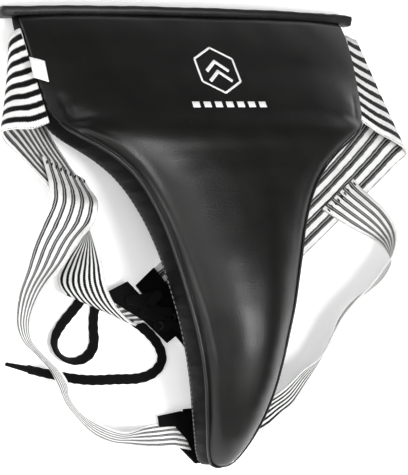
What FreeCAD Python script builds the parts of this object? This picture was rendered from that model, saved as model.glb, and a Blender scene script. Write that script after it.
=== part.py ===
import FreeCAD, Part
import math
import os

os.makedirs("parts", exist_ok=True)

# A lace-up groin guard, lying on its back: padded shield, elastic waistband, leg straps.
# Millimetres. +Z is up from the table, +Y is the shield's waist edge, +X its right side.
# Shapes are written about the middle of the waist edge, then moved by ORIGIN_SHIFT.
ORIGIN_SHIFT = FreeCAD.Vector(-16.4, 162.8, 0.0)

SKIN = 1.6              # coated leathercloth
GAP = 0.8               # between neighbouring pieces
PIPING_START = 84.0     # the piping runs from the panel's lower corner to the tip
UPPER_END = 95.0        # where the waist panel ends and the cup begins
SHIELD_LENGTH = 332.0
WEBBING = 1.6           # waistband elastic
LEG_WEBBING = 1.4
FLOOR_CLEAR = 0.6       # webbing that lies along the table
FACING = 1.4            # black facings on webbing ends
TAB_THICK = 2.6
LACE_DIAMETER = 2.0
AGLET_LENGTH = 18.0

# The shield's outline, at distances down from the waist edge: half width, front edge
# height, rim height, and how far the crown stands above the front edge.
DOWN = [0, 15, 32, 48, 62, 74, 84, 91, 98, 107, 120, 138, 160, 186, 214, 242, 268, 290, 308, 321, 329, 332]
HALF_WIDTH = [134, 133.6, 132.5, 131, 129.5, 127.5, 121, 113, 102, 89, 75.5, 64, 55, 48, 41, 34, 28.5, 24, 19, 14, 9, 6]
FRONT_EDGE = [17, 26, 34, 40, 45, 49.5, 58, 65, 69, 71, 72, 73, 75, 77, 77.5, 74.5, 68, 58, 46.5, 36, 29, 26]
RIM = [1, 6, 11.5, 17, 21.5, 25, 26.5, 27.5, 28.5, 30, 33, 37, 42, 47, 47.5, 44, 38, 30, 21, 12, 6, 4]
CROWN = [14, 15, 17, 20, 23.5, 26, 23.5, 20, 17.5, 16, 16, 17, 18.5, 20, 20.5, 20, 18.5, 16, 13, 9.5, 6, 4]
CURL = 3.4              # power of the waist panel's section: flat, then curling at its sides
DOME = 2.2              # power of the cup's section

# Each ribbon is a list of crosswise lines, from edge A to edge B, along its run.
# Edge A is the band's waist side, and edge B its thigh side, at the shield's seam.
BAND_LEFT = [
    ((-135.8, -16, 23), (-129, -78, 46)),
    ((-139, -16, 18), (-144, -83, 48)),
    ((-142, -18, 12), (-158, -83, 46)),
    ((-140, -24, 5), (-163, -84, 39)),
    ((-131, -42, 1), (-159, -91, 35)),
    ((-120, -63, 1), (-151, -99, 34)),
    ((-108, -88, 1), (-142, -109, 35)),
    ((-96, -107, 1), (-133, -119, 36)),
    ((-86, -122, 1), (-122, -131, 38)),
    ((-80, -136, 1), (-111, -142, 41)),
    ((-81, -149, 1), (-103, -152, 43)),
    ((-90, -161, 2), (-99, -163, 44)),
    ((-103, -175, 3), (-93, -179, 41)),
    ((-111, -187, 4), (-87, -195, 33)),
    ((-112, -194, 7), (-74, -211, 19)),
    ((-109, -199, 9), (-56, -225, 10)),
    ((-103, -198, 5.4), (-50, -224, 5.4)),
    ((-92, -194, 5.0), (-42, -224, 5.0)),
]
BAND_RIGHT = [
    ((135.8, -16, 23), (129, -78, 46)),
    ((142, -14, 18), (149, -88, 39)),
    ((149, -13, 14), (174, -96, 26)),
    ((153, -12, 9), (190, -100, 14)),
    ((152, -16, 4), (196, -104, 7)),
    ((145, -26, 1.4), (191, -109, 2)),
    ((132, -45, 1.0), (172, -124, 1.0)),
    ((104, -76, 1.0), (140, -148, 1.0)),
    ((49.6, -121, 1.0), (96, -181, 1.0)),
    ((0, -159, 1.0), (46.5, -219, 1.0)),
    ((-49, -197, 1.0), (-2.5, -257, 1.0)),
]
LEG_LEFT = [
    ((-127, -102, 27), (-90, -118, 11.5)),
    ((-127, -112, 32.5), (-90, -126, 21)),
    ((-128, -122, 39), (-92, -132, 34)),
    ((-131, -136, 43), (-96, -139, 48)),
    ((-137, -152, 36), (-101, -151, 52)),
    ((-141, -166, 30), (-114, -163, 54)),
    ((-145, -183, 25), (-125, -179, 50)),
    ((-147, -196, 18), (-137, -193, 46)),
    ((-147, -207, 12), (-143, -204, 42)),
    ((-146, -220, 8), (-149, -218, 42)),
    ((-141, -231, 6), (-148, -230, 40)),
    ((-132, -240, 5), (-139, -241, 38)),
    ((-122, -252, 4.5), (-128, -252, 36)),
    ((-116, -264, 4.5), (-121, -263, 34)),
    ((-110, -277, 2), (-120, -271, 34)),
    ((-101, -289, 1), (-112, -283, 34)),
    ((-90, -301, 1), (-97, -293, 34)),
    ((-77, -308, 1), (-79, -300, 30)),
    ((-62, -312, 1), (-60, -300, 14)),
    ((-54, -314, 1), (-53, -299.5, 6)),
    ((-46, -315.5, 1), (-46, -299, 2)),
    ((-38, -316.5, 1), (-38, -298.5, 1)),
    ((-25, -317.5, 1), (-24, -298, 1)),
]
LEG_RIGHT = [
    ((146, -122, 3.4), (115, -145, 3.4)),
    ((151, -129, 5), (123, -151, 6)),
    ((157, -138, 12), (133, -157, 6)),
    ((163, -149, 21), (145, -163, 5)),
    ((166, -162, 28), (159, -169, 4)),
    ((165, -172, 31), (171, -176, 2)),
    ((160, -184, 32), (178, -188, 1)),
    ((149, -196, 32), (170, -201, 1)),
    ((136, -208, 32), (154, -212, 1)),
    ((122, -219, 32), (137, -221, 1)),
    ((109, -231, 32), (125, -233, 1)),
    ((98, -246, 32), (116, -249, 1)),
    ((87, -259, 32), (104, -264, 1)),
    ((72, -268, 30), (92, -278, 1)),
    ((59, -280, 24), (78, -294, 1)),
    ((52, -287, 14), (67, -301, 1)),
    ((46, -292, 5), (57, -308, 1)),
    ((39, -295.5, 1.2), (47, -312.5, 1)),
    ((24, -298, 1), (25, -317.5, 1)),
]
LACE_LOOP = [(-80, -203), (-83.5, -213), (-85, -225), (-84.5, -237), (-91, -246), (-103, -249),
             (-114, -244), (-118, -233), (-110, -221), (-98, -210), (-90, -201)]
LACE_TAIL = [(-62, -214), (-52, -222), (-41, -231), (-33, -241), (-30, -252), (-37, -261),
             (-50, -265), (-70, -263.5), (-89, -263), (-106, -260), (-123, -255.5), (-138, -251)]


def between(value, low, high):
    return max(low, min(high, value))


def curve_value(places, values, place):
    """A smooth value at a place, through the listed values, with no overshoot."""
    place = between(place, places[0], places[-1])
    i = max(k for k in range(len(places) - 1) if places[k] <= place)
    steps = [(values[k + 1] - values[k]) / (places[k + 1] - places[k]) for k in range(len(places) - 1)]

    def slope(k):
        if k == 0 or k == len(places) - 1:
            return steps[0] if k == 0 else steps[-1]
        a, b = steps[k - 1], steps[k]
        return 0.0 if a * b <= 0 else 2 * a * b / (a + b)

    width = places[i + 1] - places[i]
    t = (place - places[i]) / width
    return (values[i] * (1 + 2 * t) * (1 - t) ** 2 + slope(i) * width * t * (1 - t) ** 2
            + values[i + 1] * t * t * (3 - 2 * t) + slope(i + 1) * width * t * t * (t - 1))


def half_width(down, inset=0.0):
    """Half the shield's width, measured inset from its outline."""
    wide = curve_value(DOWN, HALF_WIDTH, down)
    run = curve_value(DOWN, HALF_WIDTH, down - 1) - curve_value(DOWN, HALF_WIDTH, down + 1)
    return wide - inset * math.hypot(1, run / 2)


def front(down, x):
    """Height of the shield's front face."""
    share = between(abs(x) / curve_value(DOWN, HALF_WIDTH, down), 0, 1)
    power = CURL + (DOME - CURL) * between((down - 70) / 60, 0, 1)
    return curve_value(DOWN, FRONT_EDGE, down) + curve_value(DOWN, CROWN, down) * (1 - share ** power)


def rim(down):
    return curve_value(DOWN, RIM, down)


def crown_top(down):
    return front(down, 0)


def cup_height(down, x, span, drop):
    """Height of a dome under the crown, falling to just above the rim at its span."""
    top = crown_top(down) - drop
    foot = rim(down) + 5 - drop / 4
    share = between(abs(x) / (span * half_width(down)), 0, 1)
    return foot + (top - foot) * (1 - share ** 2.4)


def surface(grid):
    skin = Part.BSplineSurface()
    skin.interpolate(grid)
    return skin


def solid_between(upper, lower):
    """A closed solid between two grids of points with the same rows."""
    top, bottom = surface(upper), surface(lower)
    faces = [top.toShape(), bottom.toShape()]
    same_way = 1
    for k in (0, 1):
        for a, b in ((top.uIso(top.bounds()[k]), bottom.uIso(bottom.bounds()[k])),
                     (top.vIso(top.bounds()[k + 2]), bottom.vIso(bottom.bounds()[k + 2]))):
            faces.append(Part.makeRuledSurface(a.toShape(), b.toShape(), same_way))
    shell = Part.makeShell(faces)
    shell.sewShape()
    solid = Part.makeSolid(shell)
    if solid.Volume < 0:
        solid.reverse()
    return solid


def downs(start, end, step=5.0):
    count = max(3, math.ceil((end - start) / step))
    return [start + (end - start) * i / count for i in range(count + 1)]


def layer(start, end, inset, upper, lower, span=None, across=12):
    """A layer of the shield between two height functions of (down, x)."""
    def row(down, height):
        reach = half_width(down, inset) if span is None else span * half_width(down)
        shares = [math.sin(math.pi / 2 * (2 * j / across - 1)) for j in range(across + 1)]
        return [FreeCAD.Vector(reach * k, -down, height(down, reach * k)) for k in shares]

    places = downs(start, end)
    return solid_between([row(d, upper) for d in places], [row(d, lower) for d in places])


def side_strip(side, start, end, inset, thick, upper, lower):
    """A strip along one side of the shield, thick inwards from inset, between two heights."""
    def rows(depth):
        grid = []
        for down in downs(start, end, 6.0):
            x = side * half_width(down, depth)
            grid.append([FreeCAD.Vector(x, -down, lower(down) + (upper(down) - lower(down)) * k / 3)
                         for k in range(4)])
        return grid

    return solid_between(rows(inset), rows(inset + thick))


def edge_curve(points):
    """A smooth curve through points, as a function of the place among them."""
    line = Part.BSplineCurve()
    line.interpolate([FreeCAD.Vector(*p) for p in points])
    knots = line.getKnots()

    def at(place):
        i = min(int(place), len(points) - 2)
        return line.value(knots[i] + (knots[i + 1] - knots[i]) * (place - i))

    return at


def even_places(edges, start, end, row_length):
    """Places along a ribbon, evenly spaced by the length of its middle line."""
    fine = 400
    places = [start + (end - start) * i / fine for i in range(fine + 1)]
    middles = [(edges[0](p) + edges[1](p)) / 2 for p in places]
    run = [0.0]
    for a, b in zip(middles, middles[1:]):
        run.append(run[-1] + a.distanceToPoint(b))
    rows = max(3, round(run[-1] / row_length))
    chosen = [min(range(fine + 1), key=lambda k: abs(run[k] - run[-1] * i / rows)) for i in range(rows + 1)]
    return [places[k] for k in chosen], run[-1]


def ribbon(stations, thick, start=0.0, end=1.0, lift=0.0, row_length=6.0, overlap=0.0):
    """A strip of webbing through crosswise lines, from share start to share end of its stations."""
    edges = [edge_curve([s[k] for s in stations]) for k in (0, 1)]
    last = len(stations) - 1
    places, length = even_places(edges, start * last, end * last, row_length)
    print("ribbon length", round(length, 1))
    upper, lower = [], []
    for place in places:
        a, b = edges[0](place), edges[1](place)
        cross = (b - a).normalize()
        a, b = a - cross * overlap, b + cross * overlap
        a.z, b.z = max(a.z, FLOOR_CLEAR + thick / 2), max(b.z, FLOOR_CLEAR + thick / 2)
        behind, ahead = max(0, place - 0.05), min(last, place + 0.05)
        tops, bottoms = [], []
        for k in (0, 0.25, 0.5, 0.75, 1):
            way = (edges[0](ahead) - edges[0](behind)) * (1 - k) + (edges[1](ahead) - edges[1](behind)) * k
            face = (b - a).cross(way).normalize()
            point = a + (b - a) * k
            tops.append(point + face * (lift + thick / 2))
            bottoms.append(point + face * (lift - thick / 2))
        upper.append(tops)
        lower.append(bottoms)
    return solid_between(upper, lower)


def plate(corners, low, high):
    base = [FreeCAD.Vector(x, y, low) for x, y in corners]
    face = Part.Face(Part.makePolygon(base + base[:1]))
    return face.extrude(FreeCAD.Vector(0, 0, high - low))


def rounded_path(points, height):
    """Straight runs joined by tangent arcs, each as large as its two runs allow."""
    spots = [FreeCAD.Vector(x, y, height) for x, y in points]
    edges, radii, here = [], [], spots[0]
    for before, corner, after in zip(spots, spots[1:], spots[2:]):
        come, go = (corner - before), (after - corner)
        turn = come.getAngle(go)
        back = 0.45 * min(come.Length, go.Length)
        radii.append(back / math.tan(turn / 2))
        come.normalize()
        go.normalize()
        first, last = corner - come * back, corner + go * back
        middle = (go - come).normalize()
        reach = radii[-1] / math.cos(turn / 2) - radii[-1]
        edges.append(Part.makeLine(here, first))
        edges.append(Part.Arc(first, corner + middle * reach, last).toShape())
        here = last
    edges.append(Part.makeLine(here, spots[-1]))
    return Part.Wire(edges), radii


def tube(points, diameter, height):
    path, radii = rounded_path(points, height)
    start = FreeCAD.Vector(*points[0], height)
    way = FreeCAD.Vector(*points[1], height) - start
    ring = Part.Wire(Part.makeCircle(diameter / 2, start, way))
    solid = path.makePipeShell([ring], True, True)
    section = math.pi * diameter ** 2 / 4
    print("lace length", round(path.Length, 1), "least radius", round(min(radii), 1),
          "volume share", round(solid.Volume / section / path.Length, 3))
    return solid


def care_label():
    """A folded satin label, sewn into the left seam and lying on the panel."""
    rows = []
    for down in (33.0, 38.0, 43.0, 48.0):
        rows.append([FreeCAD.Vector(x, -down - (x + 137) * 0.35, 0) for x in (-136, -133, -130, -127)])
    for row in rows:
        for point in row:
            point.z = front(-point.y, min(abs(point.x), half_width(-point.y))) + 2.2
            point.z += max(0, abs(point.x) - 131) * -0.3 + 2.0
    lower = [[p - FreeCAD.Vector(0, 0, 0.6) for p in row] for row in rows]
    return solid_between(rows, lower)


def shield_pieces():
    """The padded shield, from its front cover back to the lining."""
    def outer(down, x):
        return front(down, x)

    def under(depth):
        return lambda down, x: front(down, x) - depth

    def panel_back(down, x):
        return front(down, x) - (front(down, half_width(down)) - rim(down))

    def cup_lining(down, x):
        return max(rim(down), cup_height(down, x, 0.66, 15.0) - 4.0)

    length = SHIELD_LENGTH - 2
    made = {
        "front_cover": layer(1, SHIELD_LENGTH, 0, outer, under(SKIN)),
        "upper_foam_pad": layer(4, UPPER_END, SKIN + 1, under(SKIN + GAP),
                                lambda d, x: panel_back(d, x) + SKIN + GAP),
        "upper_lining": layer(3, UPPER_END, SKIN + 0.5, lambda d, x: panel_back(d, x) + SKIN, panel_back),
        "cup_foam_pad": layer(UPPER_END + 2, length - 12, SKIN + 1, under(SKIN + GAP), under(8.0)),
        "cup_shell": layer(UPPER_END + 12, length - 24, 0, lambda d, x: cup_height(d, x, 0.7, 9.0),
                           lambda d, x: cup_height(d, x, 0.7, 9.0) - 3.0, span=0.66),
        "cup_lining": layer(UPPER_END + 2, length, SKIN + 0.5, lambda d, x: cup_lining(d, x) + 1.2,
                            cup_lining, across=16),
    }
    for side, name in ((-1, "left"), (1, "right")):
        made["gusset_" + name] = side_strip(side, 1, length, 0, SKIN,
                                            lambda d: front(d, half_width(d)) - SKIN - GAP, rim)
        made["piping_" + name] = side_strip(side, PIPING_START, length, -2.6, 2.4,
                                            lambda d: front(d, half_width(d)) + 0.8,
                                            lambda d: front(d, half_width(d)) - 1.6)
        made["rim_cushion_" + name] = side_strip(side, UPPER_END + 6, length - 24, SKIN + GAP, 4.5,
                                                 lambda d: front(d, half_width(d)) - 9.5,
                                                 lambda d: rim(d) + 1.5)
    return made


def top_binding():
    """The folded tape that closes the waist edge, following the crown."""
    rows_front, rows_back = [], []
    for j in range(17):
        x = 147.0 * (j / 8 - 1)
        reach = between(abs(x) / 134.0, 0, 1)
        top = 31.0 - 13.0 * reach ** 2.6 - max(0, abs(x) - 134) * 0.2
        low = max(0.0, top - 17.0 - max(0, 134 - abs(x)) * 0.02)
        rows_front.append([FreeCAD.Vector(x, y, top) for y in (-0.2, 2.0, 4.0, 6.5)])
        rows_back.append([FreeCAD.Vector(x, y, low) for y in (-0.2, 2.0, 4.0, 6.5)])
    return solid_between(rows_front, rows_back)


def emblem():
    """A printed generic mark: a six-sided frame, two chevrons and a row of bars below."""
    centre_y, size, line = -45.0, 18.0, 2.0

    def stroke(start, end, wide):
        way = FreeCAD.Vector(end[0] - start[0], end[1] - start[1], 0)
        steps = 4
        out = FreeCAD.Vector(-way.y, way.x, 0).normalize() * wide / 2
        rows = []
        for i in range(steps + 1):
            spot = FreeCAD.Vector(start[0], start[1], 0) + way * i / steps
            rows.append([spot + out * k for k in (-1, -0.33, 0.33, 1)])
        for row in rows:
            for p in row:
                p.z = front(-p.y, p.x) + 0.45
        return solid_between(rows, [[p - FreeCAD.Vector(0, 0, 0.3) for p in row] for row in rows])

    strokes = []
    for i in range(6):
        a, b = math.radians(60 * i + 30), math.radians(60 * i + 90)
        inset = 0.06
        start = (size * math.cos(a), centre_y + size * math.sin(a))
        end = (size * math.cos(b), centre_y + size * math.sin(b))
        start = (start[0] + (end[0] - start[0]) * inset, start[1] + (end[1] - start[1]) * inset)
        strokes.append(stroke(start, end, line))
    for rise in (-5.0, 3.0):
        for side in (-1, 1):
            strokes.append(stroke((side * 0.8, centre_y + rise + 4), (side * 8.5, centre_y + rise - 3.5), line))
    for i in range(7):
        x = 9.0 * (i - 3)
        strokes.append(stroke((x - 2.6, centre_y - 27), (x + 2.6, centre_y - 27), 4.5))
    return Part.makeCompound(strokes)


def closure_pieces():
    """The bands' black end facings, with their eyelets, and the laces."""
    left_end = plate([(-79, -201.5), (-58, -193), (-20, -234.5), (-29, -240), (-46, -223)], 6.3, 6.3 + FACING)
    right_end = ribbon(BAND_RIGHT, FACING, 0.968, 1.0, -1.75, 4.0, 1.0)
    eyelets = {}
    for name, start, way, top in (("left", (-62, -202), (33, -30), 7.8), ("right", (-41, -197), (38, -49), 4.0)):
        rings = []
        for i in range(3):
            x, y = start[0] + way[0] * (i + 0.5) / 3, start[1] + way[1] * (i + 0.5) / 3
            ring = Part.makeCylinder(3.0, 0.8, FreeCAD.Vector(x, y, top))
            rings.append(ring.cut(Part.makeCylinder(1.8, 2, FreeCAD.Vector(x, y, top - 0.5))))
        eyelets[name] = Part.makeCompound(rings)
    aglet_start = FreeCAD.Vector(*LACE_TAIL[-1], LACE_DIAMETER / 2)
    aglet_way = aglet_start - FreeCAD.Vector(*LACE_TAIL[-2], LACE_DIAMETER / 2)
    return {
        "end_piece_left": left_end,
        "end_piece_right": right_end,
        "eyelets_left": eyelets["left"],
        "eyelets_right": eyelets["right"],
        "lace_loop": tube(LACE_LOOP, LACE_DIAMETER, LACE_DIAMETER / 2),
        "lace_tail": tube(LACE_TAIL, LACE_DIAMETER, LACE_DIAMETER / 2),
        "lace_aglet": Part.makeCylinder(LACE_DIAMETER / 2, AGLET_LENGTH, aglet_start, aglet_way),
    }


def strap_pieces():
    """Waistband halves and leg straps, and the tab and facings at the tip."""
    tab = plate([(-16, -290), (16, -290), (21, -318), (9, -331), (-9, -331), (-21, -318)], 0.0, TAB_THICK)
    facings = {}
    for side, name in ((-1, "left"), (1, "right")):
        corners = [(39, -293), (20, -291), (9, -295), (9, -321), (25, -302), (38, -301)]
        facings["strap_facing_" + name] = plate([(side * x, y) for x, y in corners], 3.5, 3.5 + FACING)
    return {
        **facings,
        "waistband_left": ribbon(BAND_LEFT, WEBBING),
        "waistband_right": ribbon(BAND_RIGHT, WEBBING),
        "leg_strap_left": ribbon(LEG_LEFT, LEG_WEBBING),
        "leg_strap_right": ribbon(LEG_RIGHT, LEG_WEBBING),
        "bottom_tab": tab,
    }


def write(pieces):
    for name, shape in pieces.items():
        shape.translate(ORIGIN_SHIFT)
        if not shape.isValid():
            print("not valid:", name)
        shape.exportStep("parts/" + name + ".step")


parts = {}
parts.update(shield_pieces())
parts["top_binding"] = top_binding()
parts["emblem_print"] = emblem()
parts["care_label"] = care_label()
parts.update(closure_pieces())
parts.update(strap_pieces())
write(parts)
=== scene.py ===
import math

import bpy
import numpy as np
from mathutils import Matrix, Vector, noise


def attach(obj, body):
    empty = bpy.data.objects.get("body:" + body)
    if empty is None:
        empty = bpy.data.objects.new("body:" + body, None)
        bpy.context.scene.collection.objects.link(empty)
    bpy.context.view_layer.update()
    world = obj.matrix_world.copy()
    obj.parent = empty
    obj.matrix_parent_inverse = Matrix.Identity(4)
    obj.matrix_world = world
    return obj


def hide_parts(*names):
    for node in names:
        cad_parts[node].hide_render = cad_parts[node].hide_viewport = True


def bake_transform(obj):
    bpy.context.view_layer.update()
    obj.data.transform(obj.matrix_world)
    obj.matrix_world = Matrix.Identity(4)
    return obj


# A lace-up groin guard lying on its back. Shapes are written in millimetres about the middle
# of the waist edge, as the design is, and placed in the row frame by place().
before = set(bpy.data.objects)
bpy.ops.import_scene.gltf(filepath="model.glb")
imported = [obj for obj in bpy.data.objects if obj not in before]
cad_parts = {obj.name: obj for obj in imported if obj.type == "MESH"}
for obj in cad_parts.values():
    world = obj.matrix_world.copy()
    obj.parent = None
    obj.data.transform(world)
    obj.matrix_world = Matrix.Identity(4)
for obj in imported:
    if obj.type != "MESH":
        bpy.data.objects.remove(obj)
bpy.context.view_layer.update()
SHIFT = np.array((-16.4, 162.8, 0.0))
MM = 0.001

# ---------------------------------------------------------------- the shield's shape
SHIELD_LENGTH = 332.0
PIPING_START = 84.0
# The profiles below have one value at each of these distances down from the waist edge.
DOWN = [0, 15, 32, 48, 62, 74, 84, 91, 98, 107, 120,
        138, 160, 186, 214, 242, 268, 290, 308, 321, 329, 332]
HALF_WIDTH = [134, 133.6, 132.5, 131, 129.5, 127.5, 121, 113, 102, 89, 75.5,
              64, 55, 48, 41, 34, 28.5, 24, 19, 14, 9, 6]
FRONT_EDGE = [17, 26, 34, 40, 45, 49.5, 58, 65, 69, 71, 72,
              73, 75, 77, 77.5, 74.5, 68, 58, 46.5, 36, 29, 26]
RIM = [1, 6, 11.5, 17, 21.5, 25, 26.5, 27.5, 28.5, 30, 33,
       37, 42, 47, 47.5, 44, 38, 30, 21, 12, 6, 4]
CROWN = [14, 15, 17, 20, 23.5, 26, 23.5, 20, 17.5, 16, 16,
         17, 18.5, 20, 20.5, 20, 18.5, 16, 13, 9.5, 6, 4]
CURL = 3.4               # how squarely the waist panel meets its sides
DOME = 2.2               # and the cup
COVER_THICK = 1.2
ABOVE_FOAM = 1.1         # the most that the sewn cover sinks below its designed height
SMOOTH_REACH = 32        # half the length over which the shoulder above the cup is eased
LIP_DROP = 2.4           # how far the cover's edge turns down to the piping
CORNER = 121             # where the side seam meets the cup, out from the middle
SEAM_HALF = 134          # half the waist edge, at the side seams
BINDING_TOP = 31.0
BINDING_FALL = 13.0
BINDING_DEEP = 17.0
BINDING_LEFT = -144.8
BINDING_RIGHT = 147
END_ROUND = 0.6          # how far a tube's end stands out, as a share of its radius
# Creases at that corner: start and end, each as a distance out from it and y, then depth and width.
CORNER_CREASES = [
    ((-1, -64), (-5, -81), -3.0, 2.6), ((-3, -82), (-17, -79), -2.2, 2.4),
    ((2, -74), (-11, -69), 1.6, 4.0), ((-6, -88), (-20, -84), 1.8, 3.0),
]

# ---------------------------------------------------------------- the webbing's lines
# Both edges of each strip at stations along it, from the sewn end on.
BAND_THICK = 1.5
LEG_THICK = 1.3
BAND_STRIPES = 8.5       # pairs of pale and dark stripes across
LEG_STRIPES = 5.5
RIB_PITCH = 0.0013
BAND_LEFT = [
    ((-135.8, -11, 22), (-128.6, -81, 47)), ((-138, -12, 18), (-141, -85, 49)),
    ((-140, -16, 12), (-155, -85, 47)), ((-138, -24, 5), (-161, -86, 40)),
    ((-131, -42, 1), (-159, -91, 35)), ((-120, -63, 1), (-151, -99, 34)),
    ((-108, -88, 1), (-142, -109, 35)), ((-96, -107, 1), (-133, -119, 36)),
    ((-86, -122, 1), (-122, -131, 38)), ((-80, -136, 1), (-111, -142, 41)),
    ((-81, -149, 1), (-103, -152, 43)), ((-90, -161, 2), (-99, -163, 44)),
    ((-103, -175, 3), (-93, -179, 41)), ((-111, -187, 4), (-87, -195, 33)),
    ((-112, -194, 7), (-74, -211, 19)), ((-109, -199, 9), (-56, -225, 10)),
    ((-103, -198, 5.4), (-50, -224, 5.4)), ((-92, -194, 5.0), (-42, -224, 5.0)),
]
BAND_RIGHT = [
    ((135.8, -11, 22), (128.6, -81, 47)), ((142, -12, 18), (149, -90, 40)),
    ((149, -13, 14), (174, -96, 26)), ((153, -12, 9), (190, -100, 14)),
    ((152, -16, 4), (196, -104, 7)), ((145, -26, 1.6), (191, -109, 2)),
    ((132, -45, 1.5), (172, -124, 1.5)), ((104, -76, 1.5), (140, -148, 1.5)),
    ((49.6, -121, 1.5), (96, -181, 1.5)), ((0, -159, 1.5), (46.5, -219, 1.5)),
    ((-49, -197, 1.5), (-2.5, -257, 1.5)),
]
LEG_LEFT = [
    ((-127, -102, 27), (-90, -118, 11.5)), ((-127, -112, 32.5), (-90, -126, 21)),
    ((-128, -122, 39), (-92, -132, 34)), ((-131, -136, 43), (-96, -139, 48)),
    ((-137, -152, 36), (-101, -151, 52)), ((-141, -166, 30), (-114, -163, 54)),
    ((-145, -183, 25), (-125, -179, 50)), ((-147, -196, 18), (-137, -193, 46)),
    ((-147, -207, 12), (-143, -204, 42)), ((-146, -220, 8), (-149, -218, 42)),
    ((-141, -231, 6), (-148, -230, 40)), ((-132, -240, 5), (-139, -241, 38)),
    ((-122, -252, 4.5), (-128, -252, 36)), ((-116, -264, 4.5), (-121, -263, 34)),
    ((-110, -277, 2), (-120, -271, 34)), ((-101, -289, 1.5), (-112, -283, 34)),
    ((-90, -301, 1.5), (-97, -293, 34)), ((-77, -308, 1.5), (-79, -300, 30)),
    ((-62, -312, 1.5), (-60, -300, 14)), ((-54, -314, 1.5), (-53, -299.5, 6)),
    ((-46, -315.5, 1.5), (-46, -299, 2)), ((-38, -316.5, 1.5), (-38, -298.5, 1.5)),
    ((-25, -317.5, 1.9), (-24, -298, 1.7)), ((-13, -320.5, 3.3), (-21, -298.5, 3.0)),
]
LEG_RIGHT = [
    ((146, -122, 3.4), (115, -145, 3.4)), ((151, -129, 5), (123, -151, 6)),
    ((157, -138, 12), (133, -157, 6)), ((163, -149, 21), (145, -163, 5)),
    ((166, -162, 28), (159, -169, 4)), ((165, -172, 31), (171, -176, 2)),
    ((160, -184, 32), (178, -188, 1.5)), ((149, -196, 32), (170, -201, 1.5)),
    ((136, -208, 32), (154, -212, 1.5)), ((122, -219, 32), (137, -221, 1.5)),
    ((109, -231, 32), (125, -233, 1.5)), ((98, -246, 32), (116, -249, 1.5)),
    ((87, -259, 32), (104, -264, 1.5)), ((72, -268, 30), (92, -278, 1.5)),
    ((59, -280, 24), (78, -294, 1.5)), ((52, -287, 14), (67, -301, 1.5)),
    ((46, -292, 5), (57, -308, 1.5)), ((39, -295.5, 1.6), (47, -312.5, 1.5)),
    ((24, -298, 1.7), (25, -317.5, 1.9)), ((21, -298.5, 3.0), (13, -320.5, 3.3)),
]
LACE_LOOP = [(-80, -203), (-83.5, -213), (-85, -225), (-84.5, -237), (-91, -246), (-103, -249),
             (-114, -244), (-118, -233), (-110, -221), (-98, -210), (-90, -201)]
LACE_TAIL = [(-62, -214), (-52, -222), (-41, -231), (-33, -241), (-30, -252), (-37, -261),
             (-50, -265), (-70, -263.5), (-89, -263), (-106, -260), (-123, -255.5), (-138, -251)]
LACE_HEIGHT = 1.0
LACE_WIDTH = 7.5
LACE_THICK = 1.5
LACE_CLEAR = 0.4         # under a lace that lies on the table
LACING = [((-60, -207), (-33, -205)), ((-49, -217), (-23, -217)), ((-38, -227), (-12, -230)),
          ((-58, -206), (-26, -219)), ((-47, -216), (-15, -231)), ((-33, -203), (-50, -219))]


# ---------------------------------------------------------------- small geometry tools
def place(points):
    """Millimetres about the waist edge, to metres in the row frame."""
    return (np.asarray(points, float) + SHIFT) * MM


def unit(v):
    v = np.asarray(v, float)
    return v / np.maximum(np.linalg.norm(v, axis=-1, keepdims=True), 1e-9)


def fade(value, start, end):
    """0 at start and before it, 1 at end and beyond it, and straight between."""
    return np.clip((value - start) / (end - start), 0, 1)


def hump(offset, width):
    return np.exp(-(offset / width) ** 2)


def between(t, width, low, high, slope_low, slope_high):
    """A cubic from low to high over width, at share t, with those slopes at its ends."""
    return (low * (1 + 2 * t) * (1 - t) ** 2 + slope_low * width * t * (1 - t) ** 2
            + high * t * t * (3 - 2 * t) + slope_high * width * t * t * (t - 1))


def curve_value(values, spot):
    """Smooth values at distances down the shield, with no overshoot."""
    spot = np.clip(np.asarray(spot, float), DOWN[0], DOWN[-1])
    at, height = np.array(DOWN, float), np.array(values, float)
    width = np.diff(at)
    step = np.diff(height) / width
    slope = np.concatenate([step[:1], np.zeros(len(at) - 2), step[-1:]])
    both = step[:-1] * step[1:] > 0
    slope[1:-1][both] = (2 * step[:-1] * step[1:])[both] / (step[:-1] + step[1:])[both]
    i = np.clip(np.searchsorted(at, spot, side="right") - 1, 0, len(at) - 2)
    t = (spot - at[i]) / width[i]
    return between(t, width[i], height[i], height[i + 1], slope[i], slope[i + 1])


def half_width(down):
    return curve_value(HALF_WIDTH, down)


def rim(down):
    return curve_value(RIM, down)


def edge_slope(down):
    """How fast the outline closes in, going down."""
    return (half_width(down - 1) - half_width(down + 1)) / 2


def outward(side, down):
    """The level direction straight out from the outline."""
    return unit((side, -float(edge_slope(down)), 0))


def front(down, x):
    """Height of the shield's front face, as designed."""
    down = np.asarray(down, float)
    share = np.clip(np.abs(x) / half_width(down), 0, 1)
    power = CURL + (DOME - CURL) * fade(down, 70, 130)
    return curve_value(FRONT_EDGE, down) + curve_value(CROWN, down) * (1 - share ** power)


def bump_line(x, y, start, end, depth, width):
    """A soft ridge or crease along a segment, fading at its ends."""
    start, end = np.array(start, float), np.array(end, float)
    way = end - start
    t = ((x - start[0]) * way[0] + (y - start[1]) * way[1]) / way.dot(way)
    near = np.clip(t, 0, 1)
    off = np.hypot(x - start[0] - way[0] * near, y - start[1] - way[1] * near)
    return depth * hump(off, width) * np.sin(np.pi * (0.15 + 0.7 * near))


def rough_field(points, size, seed):
    """Smooth noise between -1 and 1 at points, with features of that size."""
    flat = np.asarray(points, float).reshape(-1, 3) / size + seed
    return np.array([noise.noise(Vector(p)) for p in flat]).reshape(np.asarray(points).shape[:-1])


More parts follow.
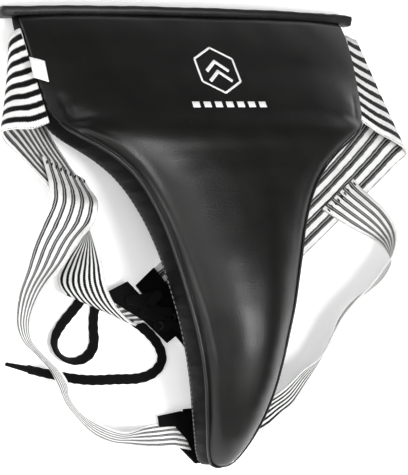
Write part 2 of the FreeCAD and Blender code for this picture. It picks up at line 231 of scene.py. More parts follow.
def finish_mesh(name, verts, faces, materials, uvs=None, slots=None, flip=False):
    """A mesh object in the row frame, from millimetres, smooth, facing outwards."""
    mesh = bpy.data.meshes.new(name)
    if flip:
        faces = [tuple(reversed(f)) for f in faces]
    mesh.from_pydata([tuple(p) for p in place(verts)], [], faces)
    for material in materials:
        mesh.materials.append(material)
    if slots is not None:
        mesh.polygons.foreach_set("material_index", slots)
    if uvs is not None:
        layer = mesh.uv_layers.new(name="UVMap")
        index = np.zeros(len(mesh.loops), int)
        mesh.loops.foreach_get("vertex_index", index)
        layer.data.foreach_set("uv", np.asarray(uvs, np.float32)[index].ravel())
    mesh.polygons.foreach_set("use_smooth", [True] * len(mesh.polygons))
    mesh.update()
    made = bpy.data.objects.new(name + "_look", mesh)
    bpy.context.scene.collection.objects.link(made)
    return made


def signed_volume(verts, faces):
    """Six times the volume inside the faces, below zero when they face inwards."""
    verts = np.asarray(verts, float)
    total = 0.0
    for f in faces:
        for k in range(1, len(f) - 1):
            total += verts[f[0]].dot(np.cross(verts[f[k]], verts[f[k + 1]]))
    return total


def shell(name, upper, lower, materials, uv=None):
    """A closed shell between two grids of points. Materials are for upper, lower and edge."""
    rows, cols = upper.shape[:2]
    count = rows * cols
    verts = np.concatenate([upper.reshape(-1, 3), lower.reshape(-1, 3)])
    faces, slots = [], []

    def at(r, c, side=0):
        return side * count + r * cols + c

    last = len(materials) - 1
    for r in range(rows - 1):
        for c in range(cols - 1):
            faces.append((at(r, c), at(r, c + 1), at(r + 1, c + 1), at(r + 1, c)))
            faces.append((at(r, c, 1), at(r + 1, c, 1), at(r + 1, c + 1, 1), at(r, c + 1, 1)))
            slots += [0, min(1, last)]
    ring = [(0, c) for c in range(cols)] + [(r, cols - 1) for r in range(1, rows)]
    ring += [(rows - 1, c) for c in range(cols - 2, -1, -1)] + [(r, 0) for r in range(rows - 2, 0, -1)]
    for (r, c), (s, d) in zip(ring, ring[1:] + ring[:1]):
        faces.append((at(r, c), at(r, c, 1), at(s, d, 1), at(s, d)))
        slots.append(last)
    uvs = None if uv is None else np.concatenate([uv.reshape(-1, 2)] * 2)
    return finish_mesh(name, verts, faces, materials, uvs, slots, signed_volume(verts, faces) < 0)


def skin(name, rings, first, last, material):
    """A closed skin over rings of points, with one point closing each end."""
    rings = np.array(rings)
    rows, count = rings.shape[:2]
    verts = np.concatenate([rings.reshape(-1, 3), [first, last]])
    pairs = [(j, (j + 1) % count) for j in range(count)]
    faces = [(r * count + j, r * count + n, (r + 1) * count + n, (r + 1) * count + j)
             for r in range(rows - 1) for j, n in pairs]
    end = (rows - 1) * count
    for j, n in pairs:
        faces.append((rows * count, n, j))
        faces.append((rows * count + 1, end + j, end + n))
    return finish_mesh(name, verts, faces, [material], flip=signed_volume(verts, faces) < 0)


def tube(name, path, radius, material, sides=10, squash=1.0):
    """A closed round tube along path, with rounded ends. radius may vary along it."""
    path = np.asarray(path, float)
    radius = np.broadcast_to(radius, len(path)).astype(float)
    way = unit(np.gradient(path, axis=0))
    side = unit(np.cross(way, (0, 0, 1)))
    over = np.cross(side, way)
    turn = np.linspace(0, 2 * math.pi, sides, endpoint=False)
    c, s = np.cos(turn)[:, None], np.sin(turn)[:, None]
    rings = [path[k] + radius[k] * (c * side[k] + squash * s * over[k]) for k in range(len(path))]
    first = path[0] - way[0] * radius[0] * END_ROUND
    last = path[-1] + way[-1] * radius[-1] * END_ROUND
    return skin(name, rings, first, last, material)


def join(name, pieces):
    """Several meshes with one set of materials, as one piece."""
    bpy.context.view_layer.update()
    verts, faces, slots, base = [], [], [], 0
    for piece in pieces:
        verts += [tuple(v.co) for v in piece.data.vertices]
        faces += [tuple(base + i for i in p.vertices) for p in piece.data.polygons]
        slots += [p.material_index for p in piece.data.polygons]
        base = len(verts)
    mesh = bpy.data.meshes.new(name)
    mesh.from_pydata(verts, [], faces)
    for material in pieces[0].data.materials:
        mesh.materials.append(material)
    mesh.polygons.foreach_set("material_index", slots)
    mesh.polygons.foreach_set("use_smooth", [True] * len(mesh.polygons))
    for piece in pieces:
        bpy.data.objects.remove(piece)
    made = bpy.data.objects.new(name + "_look", mesh)
    bpy.context.scene.collection.objects.link(made)
    return made


def walk(path, step):
    """Points on a polyline at even distances, with the direction there."""
    path = np.asarray(path, float)
    run = np.concatenate([[0], np.cumsum(np.linalg.norm(np.diff(path, axis=0), axis=1))])
    spots = np.arange(step / 2, run[-1], step)
    at = np.stack([np.interp(spots, run, path[:, k]) for k in range(3)], 1)
    ahead = np.stack([np.interp(spots + 0.5, run, path[:, k]) for k in range(3)], 1)
    behind = np.stack([np.interp(spots - 0.5, run, path[:, k]) for k in range(3)], 1)
    return at, unit(ahead - behind)


def stitches(name, path, material, length=2.6, pitch=3.8, radius=0.38):
    """A row of separate thread stitches along a path."""
    made = []
    for spot, way in zip(*walk(path, pitch)):
        line = [spot + way * length * k for k in (-0.5, -0.3, 0.3, 0.5)]
        made.append(tube(name + "_one", line, [radius * 0.5, radius, radius, radius * 0.5], material, 6))
    return join(name, made)


# ---------------------------------------------------------------- materials
def material(name, colour, roughness, specular, sheen=0.0):
    """A plain material, with its node tree and its surface node."""
    made = bpy.data.materials.new(name)
    made.use_nodes = True
    surface = made.node_tree.nodes["Principled BSDF"]
    surface.inputs["Base Color"].default_value = (*colour, 1)
    surface.inputs["Roughness"].default_value = roughness
    surface.inputs["Specular IOR Level"].default_value = specular
    surface.inputs["Sheen Weight"].default_value = sheen
    return made, made.node_tree, surface


def add(tree, kind, inputs=(), **settings):
    """A node with its settings, and with values or other nodes' outputs on its inputs."""
    node = tree.nodes.new(kind)
    for key, value in settings.items():
        setattr(node, key, value)
    for key, value in dict(inputs).items():
        if isinstance(value, bpy.types.NodeSocket):
            tree.links.new(value, node.inputs[key])
        else:
            node.inputs[key].default_value = value
    return node


def maths(tree, operation, a, b=0.0, c=0.0):
    return add(tree, "ShaderNodeMath", {0: a, 1: b, 2: c}, operation=operation).outputs[0]


def ramp(tree, value, stops):
    """Colours by value. stops are (place, colour) in order."""
    node = add(tree, "ShaderNodeValToRGB", {"Fac": value})
    line = node.color_ramp
    for k, (at, colour) in enumerate(stops):
        stop = line.elements[k] if k < 2 else line.elements.new(at)
        stop.position = at
        stop.color = (*colour, 1)
    return node.outputs["Color"]


def bump(tree, surface, height, distance, strength, before=None):
    """Relief of that height in metres, over the relief before it."""
    inputs = {"Height": height, "Distance": distance, "Strength": strength}
    if before is not None:
        inputs["Normal"] = before
    out = add(tree, "ShaderNodeBump", inputs).outputs["Normal"]
    tree.links.new(out, surface.inputs["Normal"])
    return out


def leather(name, dark, light, rough, specular, grain=1500.0, crease=0.0005):
    """Coated leathercloth: pebbled grain, soft mottling, broad creases and uneven gloss."""
    made, tree, surface = material(name, dark, rough, specular)
    where = add(tree, "ShaderNodeTexCoord").outputs["Object"]
    pebble = add(tree, "ShaderNodeTexVoronoi", {"Vector": where, "Scale": grain, "Randomness": 0.9})
    fine = add(tree, "ShaderNodeTexNoise", {"Vector": where, "Scale": grain * 1.6, "Detail": 3.0})
    broad = add(tree, "ShaderNodeTexNoise", {"Vector": where, "Scale": 45.0, "Detail": 4.0})
    wide = add(tree, "ShaderNodeTexNoise", {"Vector": where, "Scale": 14.0, "Detail": 2.0})
    colour = ramp(tree, broad.outputs["Fac"], [(0.3, dark), (0.75, light)])
    tree.links.new(colour, surface.inputs["Base Color"])
    gloss = add(tree, "ShaderNodeMapRange", {"Value": fine.outputs["Fac"], "From Min": 0.3, "From Max": 0.7,
                                             "To Min": rough - 0.07, "To Max": rough + 0.08})
    tree.links.new(gloss.outputs[0], surface.inputs["Roughness"])
    first = bump(tree, surface, wide.outputs["Fac"], crease, 0.5)
    second = bump(tree, surface, pebble.outputs["Distance"], 0.00016, 0.45, first)
    bump(tree, surface, fine.outputs["Fac"], 0.00008, 0.4, second)
    return made


def cloth(name, colour, rough, weave=900.0):
    """Plain woven or knitted cloth, with crossing threads."""
    made, tree, surface = material(name, colour, rough, 0.08, 0.03)
    where = add(tree, "ShaderNodeTexCoord").outputs["Object"]
    one = add(tree, "ShaderNodeTexWave", {"Vector": where, "Scale": weave / 3}, bands_direction="X")
    two = add(tree, "ShaderNodeTexWave", {"Vector": where, "Scale": weave / 3}, bands_direction="Y")
    tone = add(tree, "ShaderNodeTexNoise", {"Vector": where, "Scale": 60.0, "Detail": 4.0})
    dark, light = (tuple(min(1, c * k) for c in colour) for k in (0.8, 1.1))
    shade = ramp(tree, tone.outputs["Fac"], [(0.3, dark), (0.7, light)])
    tree.links.new(shade, surface.inputs["Base Color"])
    bump(tree, surface, maths(tree, "MULTIPLY", one.outputs["Fac"], two.outputs["Fac"]), 0.0002, 0.5)
    return made


def grey(value):
    return (value, value, value)


WHITE = (0.86, 0.86, 0.85)
THREAD_BLACK = grey(0.004)
INK = grey(0.003)


def webbing(name, pitches, stops):
    """Ribbed elastic: stripes across its width by the U of its map, ribs along its length by V."""
    made, tree, surface = material(name, WHITE, 0.85, 0.06, 0.06)
    weave_map = add(tree, "ShaderNodeUVMap", uv_map="UVMap").outputs[0]
    layout = add(tree, "ShaderNodeSeparateXYZ", {0: weave_map})
    across, along = layout.outputs[0], layout.outputs[1]
    ribs = maths(tree, "SINE", maths(tree, "MULTIPLY", along, 2 * math.pi / RIB_PITCH))
    where = add(tree, "ShaderNodeTexCoord").outputs["Object"]
    wander = add(tree, "ShaderNodeTexNoise", {"Vector": where, "Scale": 260.0, "Detail": 2.0}).outputs[0]
    waver = maths(tree, "MULTIPLY", maths(tree, "SUBTRACT", wander, 0.5), 0.14)
    shift = maths(tree, "MULTIPLY_ADD", ribs, 0.035, waver)
    phase = maths(tree, "FRACT", maths(tree, "ADD", maths(tree, "MULTIPLY", across, pitches), shift))
    stripe = ramp(tree, phase, stops)
    tone = add(tree, "ShaderNodeTexNoise", {"Vector": where, "Scale": 90.0, "Detail": 3.0}).outputs["Fac"]
    soil = ramp(tree, tone, [(0.3, grey(0.86)), (0.7, grey(1))])
    mixed = add(tree, "ShaderNodeMix", data_type="RGBA", blend_type="MULTIPLY")
    mixed.inputs["Factor"].default_value = 1.0
    tree.links.new(stripe, mixed.inputs["A"])
    tree.links.new(soil, mixed.inputs["B"])
    tree.links.new(mixed.outputs["Result"], surface.inputs["Base Color"])
    cords = maths(tree, "SINE", maths(tree, "MULTIPLY", across, 2 * math.pi * pitches * 5))
    first = bump(tree, surface, ribs, 0.00025, 0.5)
    bump(tree, surface, cords, 0.00018, 0.35, first)
    return made


# Stripes across one repeat: bold ones, the fine groups on the other face, and the leg straps' lines.
BOLD = [(0.0, WHITE), (0.44, WHITE), (0.50, THREAD_BLACK), (0.95, THREAD_BLACK), (1.0, WHITE)]
LINES = [(0.0, WHITE), (0.42, WHITE), (0.46, INK), (0.56, INK), (0.59, grey(0.3)), (0.64, grey(0.5)),
         (0.67, INK), (0.82, INK), (0.85, grey(0.4)), (0.88, INK), (0.96, INK), (1.0, WHITE)]
PALE_LINES = [(0.0, WHITE), (0.46, WHITE), (0.50, INK), (0.63, INK), (0.67, grey(0.5)),
              (0.72, grey(0.5)), (0.76, INK), (0.92, INK), (0.97, WHITE)]
M_COVER = leather("cover_leather", (0.002, 0.002, 0.0018), (0.0055, 0.0055, 0.005), 0.36, 0.32,
                  1100.0, 0.0014)
M_GUSSET = leather("gusset_leather", grey(0.0015), grey(0.0035), 0.48, 0.05)
M_PIPING = leather("piping_leather", grey(0.004), grey(0.010), 0.36, 0.4, 1800.0)
M_BINDING = leather("binding_leather", grey(0.006), grey(0.013), 0.45, 0.34, 1300.0, 0.0012)
M_FACING = leather("facing_leather", grey(0.002), grey(0.004), 0.65, 0.05)
M_LACE = cloth("lace_braid", (0.003, 0.003, 0.0033), 0.75, 2600.0)
M_THREAD = cloth("sewing_thread", (0.02, 0.02, 0.022), 0.6, 4000.0)
M_PALE_THREAD = cloth("edge_thread", grey(0.30), 0.6, 4000.0)
M_LINING = cloth("lining_knit", (0.03, 0.03, 0.032), 0.9)
M_FOAM = cloth("foam", (0.70, 0.66, 0.55), 0.95, 500.0)
M_CUP = leather("cup_plastic", (0.72, 0.72, 0.70), (0.80, 0.80, 0.78), 0.30, 0.5)
M_METAL = leather("eyelet_black", (0.008, 0.008, 0.009), (0.014, 0.014, 0.015), 0.5, 0.3)
M_PRINT = leather("print_ink", grey(0.74), grey(0.86), 0.5, 0.3, 1500.0, 0.0001)
M_LABEL = cloth("label_satin", grey(0.90), 0.45, 3000.0)
M_WEB_BOLD = webbing("webbing_bold", BAND_STRIPES, BOLD)
M_WEB_LINES = webbing("webbing_lines", BAND_STRIPES, LINES)
M_LEG_BOLD = webbing("leg_webbing_bold", LEG_STRIPES, BOLD)
M_LEG_LINES = webbing("leg_webbing_lines", LEG_STRIPES, PALE_LINES)
M_WEB_EDGE = cloth("webbing_edge", (0.80, 0.80, 0.79), 0.85, 2000.0)


def put(piece, body, slot, *nodes):
    """A finished piece: the body it rides on and the nodes it stands for. slot, the name of its finish, is
    not used.
    """
    if body:
        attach(piece, body)
    if nodes:
        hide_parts(*nodes)
    return piece


# ---------------------------------------------------------------- the padded shield
def edge_distance(down, x):
    """Roughly how far in from the shield's outline, in millimetres."""
    return (half_width(down) - np.abs(x)) / np.hypot(1, edge_slope(down))


def eased(down, x, inside):
    """The designed height, with its breaks of slope smoothed away from the edges."""
    height = front(down, x)
    share = x / half_width(down)
    offsets = np.linspace(-SMOOTH_REACH, SMOOTH_REACH, 13)
    total = sum(front(np.clip(down + o, 6, SHIELD_LENGTH - 4), share * half_width(down + o))
                for o in offsets)
    change = total / len(offsets) - height
    change = np.where(change < 0, np.tanh(change), 4.0 * np.tanh(change / 4.0))
    far = fade(inside, 5, 27) * fade(down, 30, 60) * fade(down, 300, 240)
    return height + change * far * far * (3 - 2 * far)


def corner_creases(x, y):
    """Creases where the side seams meet the cup, deeper on the left."""
    height = 0.0
    for side, strength in ((-1, 0.55), (1, 0.3)):
        for (start_out, start_y), (end_out, end_y), depth, width in CORNER_CREASES:
            start = (side * (CORNER + start_out), start_y)
            end = (side * (CORNER + end_out), end_y)
            height = height + strength * bump_line(x, y, start, end, depth, width)
    return np.maximum(height, -1.7)


def cover_height(down, x):
    """The front face as sewn: a roll inside the piping, a tuck at the binding, creases."""
    inside = edge_distance(down, x)
    y = -down
    cup = fade(down, PIPING_START - 4, PIPING_START + 6) * fade(down, SHIELD_LENGTH - 6, SHIELD_LENGTH - 36)
    cup = cup * np.where(x < 0, 1.0, 0.25)
    height = eased(down, x, inside)
    height = height + cup * (0.9 * hump(inside - 5.0, 2.8) - 1.2 * hump(inside - 0.9, 1.2))
    height = height - 2.4 * hump(down, 2.6)
    height = height + corner_creases(x, y)
    height = height + bump_line(x, y, (-22, -128), (-12, -300), -1.7, 11.0)
    height = height + bump_line(x, y, (20, -150), (10, -262), 1.3, 13.0)
    for k in range(5):
        start = (26 - 3 * k, -252 - 11 * k)
        height = height + bump_line(x, y, start, (start[0] - 13, start[1] + 3), -0.35, 1.5)
    drop = height - front(down, x)
    over_foam = fade(inside, 3, 6) * fade(down, 6, 10)
    limited = front(down, x) + ABOVE_FOAM * np.tanh(drop / ABOVE_FOAM)
    return np.where(drop < 0, height + (limited - height) * over_foam, height)


def front_cover():
    """One skin over the whole front, with its edges turned down to the piping."""
    downs = np.concatenate([np.linspace(0.6, 12, 14), np.linspace(14, SHIELD_LENGTH, 190)])
    across = np.sin(np.linspace(-math.pi / 2, math.pi / 2, 121))
    drop = np.linspace(0.6, LIP_DROP, 4)
    roll = 0.5 * np.sin(drop / LIP_DROP * 2.2)
    rows = []
    for down in downs:
        x = float(half_width(down)) * across
        row = np.stack([x, np.full(len(x), -down), cover_height(np.full(len(x), down), x)], 1)
        left, right = (np.stack([edge[0] + side * roll, np.full(len(drop), -down), edge[2] - drop], 1)
                       for side, edge in ((-1, row[0]), (1, row[-1])))
        rows.append(np.concatenate([left[::-1], row, right]))
    upper = np.array(rows)
    upper[..., 2] += 0.35 * rough_field(upper, 22.0, 3.0) * fade(upper[..., 2], 0, 30)
    normal = unit(np.cross(np.gradient(upper, axis=1), np.gradient(upper, axis=0)))
    if normal[..., 2].mean() < 0:
        normal = -normal
    return shell("front_cover", upper, upper - normal * COVER_THICK, [M_COVER, M_LINING, M_COVER])


def gusset(side, name):
    """The side wall: a soft bulge, taut at both seams, with faint puckers."""
    outer, inner = [], []
    for down in np.linspace(0.8, SHIELD_LENGTH - 2, 190):
        wide = float(half_width(down))
        out = outward(side, down)
        top = float(front(down, wide)) - 1.4
        low = float(rim(down))
        pucker = 0.35 * math.sin(down * 0.55 + side) + 0.25 * math.sin(down * 1.31)
        row_out, row_in = [], []
        for s in np.linspace(0, 1, 15):
            swell = 1.9 * math.sin(math.pi * s) ** 0.7 + pucker * math.sin(math.pi * s) ** 2
            roll = -0.9 * math.exp(-((s - 0.12) * (top - low) / 2.0) ** 2)
            base = np.array((side * wide, -down, low + (top - low) * s))
            row_out.append(base + out * (swell + roll))
            row_in.append(base + out * (swell + roll - COVER_THICK))
        outer.append(row_out)
        inner.append(row_in)
    return shell("gusset_" + name, np.array(outer), np.array(inner), [M_GUSSET, M_LINING, M_GUSSET])


def edge_path(side, start, end, out, lift, height=None):
    """A line along the shield's side, standing out from it and above height, or its front edge."""
    points = []
    for down in np.linspace(start, end, 220):
        wide = float(half_width(down))
        z = float(front(down, wide)) if height is None else float(height(down))
        points.append(np.array((side * wide, -down, z + lift)) + outward(side, down) * out)
    return np.array(points)


def piping(side, name):
    """A corded seam along the cup's front edge, running out at the nose; thinner on the right."""
    path = edge_path(side, PIPING_START - 3, SHIELD_LENGTH - 2.5, 1.2, -0.7)
    tip = np.array((side * 0.3, -SHIELD_LENGTH - 0.8, 26.0))
    shares = np.linspace(0, 1, 9)[1:]
    nose = path[-1] + (tip - path[-1]) * shares[:, None]
    nose[:, 1] -= 0.9 * np.sin(np.pi * shares)
    path = np.concatenate([path, nose])
    thick = 1.45 if side < 0 else 0.9
    start = np.clip(np.linspace(0.2, 40, len(path)), 0.3, 1)
    end = np.interp(np.linspace(0, 1, len(path)), (0.8, 1), (1, 0.6))
    return tube("piping_" + name, path, thick * start * end, M_PIPING)


def binding_crest(x):
    """Height of the binding's upper fold."""
    return BINDING_TOP - BINDING_FALL * min(1.0, abs(x) / SEAM_HALF) ** 2.6


def top_binding():
    """Folded tape over the waist edge, with a stitched dip and gathered ends."""
    rings = []
    for x in np.linspace(BINDING_LEFT, BINDING_RIGHT, 190):
        past_seam = abs(x) - SEAM_HALF
        top = binding_crest(x) - max(0.0, past_seam) * 0.2
        low = max(0.3, top - BINDING_DEEP - max(0.0, -past_seam) * 0.02)
        gather = max(0.0, (x - 96) / 51) ** 1.5
        left_flat = max(0.0, (-x - 130) / 17)
        wave = 0.35 * math.sin(x * 0.11) + 0.25 * math.sin(x * 0.37 + 1) + gather * 1.1 * math.sin(x * 0.5)
        grow = 1 + 0.16 * gather + 0.10 * left_flat
        ring = []
        for t in np.linspace(0, 2 * math.pi, 28, endpoint=False):
            c, s = math.cos(t), math.sin(t)
            y = 3.1 + 3.6 * grow * math.copysign(abs(c) ** 0.55, c)
            z = (top + low) / 2 + (top - low) / 2 * math.copysign(abs(s) ** 0.5, s)
            dip = 0.9 * math.exp(-((y - 0.9) / 0.9) ** 2) if s > 0 else 0.0
            fold = gather * 0.9 * math.sin(t * 3 + x * 0.28)
            ring.append((x, min(6.6, y + 0.35 * wave + fold * 0.4), max(0.0, z - dip + fold * 0.5)))
        rings.append(ring)
    rings = np.array(rings)
    first = rings[0].mean(0) - (0.8, 0, 0)
    last = rings[-1].mean(0) + (0.8, 0, 0)
    return skin("top_binding", rings, first, last, M_BINDING)


def emblem():
    """A generic printed mark: a six-sided frame, two chevrons and a row of bars."""
    middle, size, pitch = -45.0, 18.0, 9.0
    made = []

    def stroke(start, end, wide):
        start, end = np.array(start, float), np.array(end, float)
        way = unit(end - start)
        out = np.array((-way[1], way[0])) * wide / 2
        flat = np.array([[start + (end - start) * share + out * k for k in (-1, -0.33, 0.33, 1)]
                         for share in np.linspace(0, 1, 11)])
        z = cover_height(-flat[..., 1], flat[..., 0])
        grid = np.concatenate([flat, z[..., None]], -1)
        made.append(shell("stroke", grid + (0, 0, 0.42), grid + (0, 0, 0.02), [M_PRINT]))

    angles = [math.radians(60 * i + 30) for i in range(7)]
    corners = [(size * math.cos(a), middle + size * math.sin(a)) for a in angles]
    for start, end in zip(corners, corners[1:]):
        stroke(start, end, 1.5)
    for rise in (-5.0, 3.0):
        for side in (-1, 1):
            stroke((side * -0.6, middle + rise + 4.4), (side * 9.0, middle + rise - 3.8), 2.4)
    for i in range(-3, 4):
        stroke((pitch * i - 2.8, middle - 27), (pitch * i + 2.8, middle - 27), 4.4)
    return join("emblem_print", made)


def care_label():
    """A folded satin label held in the side seam, curling a little off the panel."""
    upper = []
    for s in np.linspace(0, 1, 14):
        row = []
        for t in np.linspace(0, 1, 10):
            x = -136.0 + 9.0 * t
            y = -33.0 - 15.5 * s - (x + 137) * 0.42
            z = float(front(-y, x)) + 3.0
            z += 1.1 * math.sin(math.pi * t) + 0.7 * t * t - 0.25 * max(0.0, abs(x) - 131)
            row.append((x, y, z))
        upper.append(row)
    upper = np.array(upper)
    return shell("care_label", upper, upper - (0, 0, 0.45), [M_LABEL])


# ---------------------------------------------------------------- webbing
def smooth_edges(stations, count):
    """Both edges of a ribbon at even distances, smoothly through its stations, and its length."""
    points = np.array(stations, float)
    middle = points.mean(1)
    knots = np.concatenate([[0], np.cumsum(np.sqrt(np.linalg.norm(np.diff(middle, axis=0), axis=1)))])
    flat = points.reshape(len(points), -1)
    slope = np.gradient(flat, knots, axis=0)

    def at(spots):
        i = np.clip(np.searchsorted(knots, spots, side="right") - 1, 0, len(knots) - 2)
        width = (knots[i + 1] - knots[i])[:, None]
        t = (spots[:, None] - knots[i][:, None]) / width
        return between(t, width, flat[i], flat[i + 1], slope[i], slope[i + 1])

    fine = np.linspace(0, knots[-1], 900)
    line = at(fine).reshape(-1, 2, 3).mean(1)
    run = np.concatenate([[0], np.cumsum(np.linalg.norm(np.diff(line, axis=0), axis=1))])
    even = np.interp(np.linspace(0, run[-1], count), run, fine)
    return at(even).reshape(-1, 2, 3), run[-1]


def ribbon(name, stations, thick, faces, count, cup, ripple, seed):
    """A strip of webbing with its own weave map, and its length. faces: across x along, the other."""
    low = 0.35
    edges, length = smooth_edges(stations, count)
    shares = np.linspace(0, 1, 17)
    grid = edges[:, :1] + (edges[:, 1:] - edges[:, :1]) * shares[None, :, None]
    way = np.gradient(grid, axis=0)
    face = unit(np.cross(edges[:, 1:] - edges[:, :1], way))
    wave = ripple * rough_field(grid, 26.0, seed)
    tide = np.sin(np.pi * np.linspace(0, 1, count))[:, None] ** 0.5
    arch = cup * (1 - (2 * shares[None, :] - 1) ** 2)
    grid = grid + face * ((arch + wave) * tide)[..., None]
    upper, lower = grid + face * thick / 2, grid - face * thick / 2
    under = np.minimum(upper[..., 2], lower[..., 2])
    raise_by = np.clip(low - under, 0, None)[..., None] * np.array((0, 0, 1.0))
    uv = np.stack(np.broadcast_arrays(shares[None, :], np.linspace(0, length * MM, count)[:, None]), -1)
    return shell(name, upper + raise_by, lower + raise_by, [*faces, M_WEB_EDGE], uv), length


def cross_seam(name, a, b):
    """Bold bar tacks across a strap where it is folded and sewn."""
    a, b = np.array(a, float), np.array(b, float)
    run = unit(np.cross(unit(b - a), (0, 0, 1)))
    count, length, radius, lift = 9, 3.0, 0.7, 1.2
    made = []
    for k in range(count):
        spot = a + (b - a) * (k + 0.5) / count + (0, 0, lift)
        line = [spot + run * length * s for s in (-0.5, -0.25, 0.25, 0.5)]
        thick = [radius * 0.6, radius, radius, radius * 0.6]
        made.append(tube(name + "_one", line, thick, M_THREAD, 6, 0.5))
    return join(name, made)


# ---------------------------------------------------------------- laces
def lace_line(route):
    """Points of the lace's own smooth line, in millimetres."""
    data = bpy.data.curves.new("lace_line", "CURVE")
    data.dimensions = "3D"
    data.resolution_u = 16
    spline = data.splines.new("NURBS")
    spline.points.add(len(route) - 1)
    for point, (x, y) in zip(spline.points, route):
        point.co = (*place((x, y, LACE_HEIGHT)), 1)
    spline.order_u = 3
    spline.use_endpoint_u = True
    holder = bpy.data.objects.new("lace_line", data)
    bpy.context.scene.collection.objects.link(holder)
    bpy.context.view_layer.update()
    mesh = bpy.data.meshes.new_from_object(holder.evaluated_get(bpy.context.evaluated_depsgraph_get()))
    points = np.array([v.co for v in mesh.vertices], float) / MM - SHIFT
    bpy.data.objects.remove(holder)
    return points


def flat_lace(name, route, tilt):
    """Flat braid along the lace's line; tilt(share) is how far it stands on edge, in degrees.

    Also gives its line and length in metres, and its direction and point at the far end."""
    line = lace_line(route)
    run = np.concatenate([[0], np.cumsum(np.linalg.norm(np.diff(line, axis=0), axis=1))])
    lean = np.radians([tilt(s) for s in run / run[-1]])
    line[:, 2] = LACE_CLEAR + LACE_THICK / 2 * np.cos(lean) + LACE_WIDTH / 2 * np.abs(np.sin(lean))
    way = unit(np.gradient(line, axis=0))
    side = unit(np.cross((0, 0, 1.0), way))
    over = np.cross(way, side)
    turns = np.linspace(0, 2 * math.pi, 16, endpoint=False)
    across = [math.copysign(abs(math.cos(t)) ** 0.6, math.cos(t)) for t in turns]
    through = [math.copysign(abs(math.sin(t)) ** 0.8, math.sin(t)) for t in turns]
    rings = []
    for k in range(len(line)):
        wide = side[k] * math.cos(lean[k]) + over[k] * math.sin(lean[k])
        thin = np.cross(way[k], wide)
        grow = 1 + 0.05 * math.sin(run[k] * 0.9)
        rings.append([line[k] + wide * LACE_WIDTH / 2 * grow * c + thin * LACE_THICK / 2 * s
                      for c, s in zip(across, through)])
    made = skin(name, rings, line[0], line[-1], M_LACE)
    return made, place(line), run[-1] * MM, way[-1], line[-1]


def lacing():
    """Flat lace crossing from eyelet to eyelet between the bands' black ends."""
    made = []
    for start, end in LACING:
        shares = np.linspace(0, 1, 9)[:, None]
        flat = np.array(start) + (np.array(end) - np.array(start)) * shares
        lift = 8.6 - 3.6 * shares + 0.5 * np.sin(np.pi * shares)
        made.append(tube("lacing_one", np.concatenate([flat, lift], 1), 3.4, M_LACE, 12, 0.10))
    return join("closure_lacing", made)


# ---------------------------------------------------------------- build the shield
cover = put(front_cover(), "shield", "coated_leather", "front_cover")
for side, name in ((-1, "left"), (1, "right")):
    put(gusset(side, name), "shield", "coated_leather", "gusset_" + name)
    put(piping(side, name), "shield", "coated_leather", "piping_" + name)
    back = edge_path(side, 6, SHIELD_LENGTH - 4, 0.9, 3.4, rim)
    put(stitches("gusset_stitches_" + name, back, M_PALE_THREAD), "shield", "coated_leather")
put(top_binding(), "shield", "binding_tape", "top_binding")
seam = [(x, 0.7, binding_crest(x) - 0.6) for x in np.linspace(-138, 120, 90)]
put(stitches("binding_stitches", seam, M_THREAD, 2.8, 4.2), "shield", "binding_tape")
put(emblem(), "shield", "print_ink", "emblem_print")
put(care_label(), "label", "label_satin", "care_label")

# ---------------------------------------------------------------- build the webbing
band_left, band_left_long = ribbon("waistband_left", BAND_LEFT, BAND_THICK, (M_WEB_LINES, M_WEB_BOLD),
                                   count=210, cup=0.6, ripple=0.5, seed=1.0)
band_right, band_right_long = ribbon("waistband_right", BAND_RIGHT, BAND_THICK, (M_WEB_BOLD, M_WEB_LINES),
                                     count=220, cup=0.0, ripple=0.25, seed=7.0)
leg_left, leg_left_long = ribbon("leg_strap_left", LEG_LEFT, LEG_THICK, (M_LEG_BOLD, M_LEG_LINES),
                                 count=240, cup=0.5, ripple=0.5, seed=4.0)
leg_right, leg_right_long = ribbon("leg_strap_right", LEG_RIGHT, LEG_THICK, (M_LEG_LINES, M_LEG_BOLD),
                                   count=240, cup=0.5, ripple=0.5, seed=9.0)
put(band_left, "left_band", "elastic_webbing", "waistband_left")
put(band_right, "right_band", "elastic_webbing", "waistband_right")
put(leg_left, None, "elastic_webbing", "leg_strap_left")
put(leg_right, None, "elastic_webbing", "leg_strap_right")
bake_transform(leg_left)
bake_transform(leg_right)
put(cross_seam("tacks_left", (-127, -106, 29.5), (-90, -121, 15.5)), "left_band", "lace_braid")
put(cross_seam("tacks_right", (147.5, -125, 4.4), (118.5, -147.5, 4.6)), "right_band", "lace_braid")

# ---------------------------------------------------------------- build the laces
loop, loop_path, loop_long, _, _ = flat_lace("lace_loop", LACE_LOOP, lambda s: 52 * hump(s - 0.52, 0.16))
tail, tail_path, tail_long, tail_way, tail_end = flat_lace("lace_tail", LACE_TAIL, lambda s: 34 * s ** 2)
aglet_line = [tail_end + tail_way * k for k in np.linspace(0, 17, 12)]
aglet = tube("lace_aglet", aglet_line, np.linspace(2.4, 1.3, 12), M_LACE, 12, 0.7)
put(loop, "left_band", "lace_braid", "lace_loop")
put(tail, "left_band", "lace_braid", "lace_tail")
put(aglet, "left_band", "aglet_plastic", "lace_aglet")

put(lacing(), "left_band", "lace_braid")

# ---------------------------------------------------------------- finishes of the CAD pieces
for finish, nodes in (
    (M_FOAM, ("upper_foam_pad", "cup_foam_pad", "rim_cushion_left", "rim_cushion_right")),
    (M_LINING, ("upper_lining", "cup_lining")),
    (M_CUP, ("cup_shell",)),
    (M_FACING, ("end_piece_left", "end_piece_right", "bottom_tab")),
    (M_FACING, ("strap_facing_left", "strap_facing_right")),
    (M_METAL, ("eyelets_left", "eyelets_right")),
):
    for node in nodes:
        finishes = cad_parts[node].data.materials
        finishes.clear()
        finishes.append(finish)


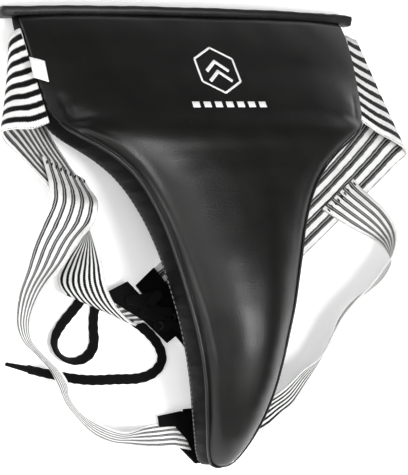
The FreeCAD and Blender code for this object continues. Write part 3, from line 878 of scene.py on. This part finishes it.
# ---------------------------------------------------------------- floor, light and camera
FLOOR_HALF = 3
FLOOR_DEPTH = 0.0004
CAMERA_SPOT = (-566.8, -209.8, 1096.5)
CAMERA_RIGHT = (0.88084, -0.05827, 0.46981)
CAMERA_UP = (0.03180, 0.99744, 0.06408)
CAMERA_BACK = (-0.47234, -0.04150, 0.88044)
CAMERA_ROLL = math.radians(-0.35)


def area_light(name, spot, aim, size, power):
    data = bpy.data.lights.new(name, "AREA")
    data.shape = "RECTANGLE"
    data.size, data.size_y = size
    data.energy = power
    lamp = bpy.data.objects.new(name, data)
    lamp.location = spot
    lamp.rotation_euler = (Vector(aim) - Vector(spot)).to_track_quat("-Z", "Y").to_euler()
    bpy.context.scene.collection.objects.link(lamp)


floor_data = bpy.data.meshes.new("floor")
corners = [(x * FLOOR_HALF, y * FLOOR_HALF, -FLOOR_DEPTH) for x, y in ((-1, -1), (1, -1), (1, 1), (-1, 1))]
floor_data.from_pydata(corners, [], [(0, 1, 2, 3)])
floor = bpy.data.objects.new("floor", floor_data)
floor_paper, _, floor_surface = material("floor_paper", grey(0.93), 0.9, 0.1)
floor_surface.inputs["Emission Color"].default_value = (1, 1, 1, 1)
floor_surface.inputs["Emission Strength"].default_value = 0.30
floor_data.materials.append(floor_paper)
bpy.context.scene.collection.objects.link(floor)

area_light("overhead_left", (-1.15, 0.35, 1.7), (0, 0, 0), (1.7, 2.0), 21)
area_light("overhead_front", (-0.1, -1.6, 1.5), (0, 0, 0), (2.0, 1.2), 12)
area_light("key", (0.17, -0.37, 1.35), (-0.02, -0.06, 0.09), (0.34, 0.60), 17)
area_light("low_left", (-1.2, -0.5, 0.55), (-0.05, 0, 0.05), (0.6, 0.3), 6)
world = bpy.data.worlds.new("studio")
world.use_nodes = True
world.node_tree.nodes["Background"].inputs[0].default_value = (1, 1, 1, 1)
world.node_tree.nodes["Background"].inputs[1].default_value = 0.20
bpy.context.scene.world = world
bpy.context.scene.view_settings.view_transform = "Standard"

camera_data = bpy.data.cameras.new("camera")
camera_data.sensor_fit = "HORIZONTAL"
camera_data.sensor_width = 36.0
camera_data.lens = 145.0
camera_data.shift_x = -0.0284
camera_data.shift_y = -0.0175
camera_data.clip_start = 0.05
camera = bpy.data.objects.new("camera", camera_data)
turn = Matrix((CAMERA_RIGHT, CAMERA_UP, CAMERA_BACK)).transposed().to_4x4()
roll = Matrix.Rotation(CAMERA_ROLL, 4, "Z")
camera.matrix_world = Matrix.Translation(Vector(place(CAMERA_SPOT))) @ turn @ roll
bpy.context.scene.collection.objects.link(camera)
bpy.context.scene.camera = camera
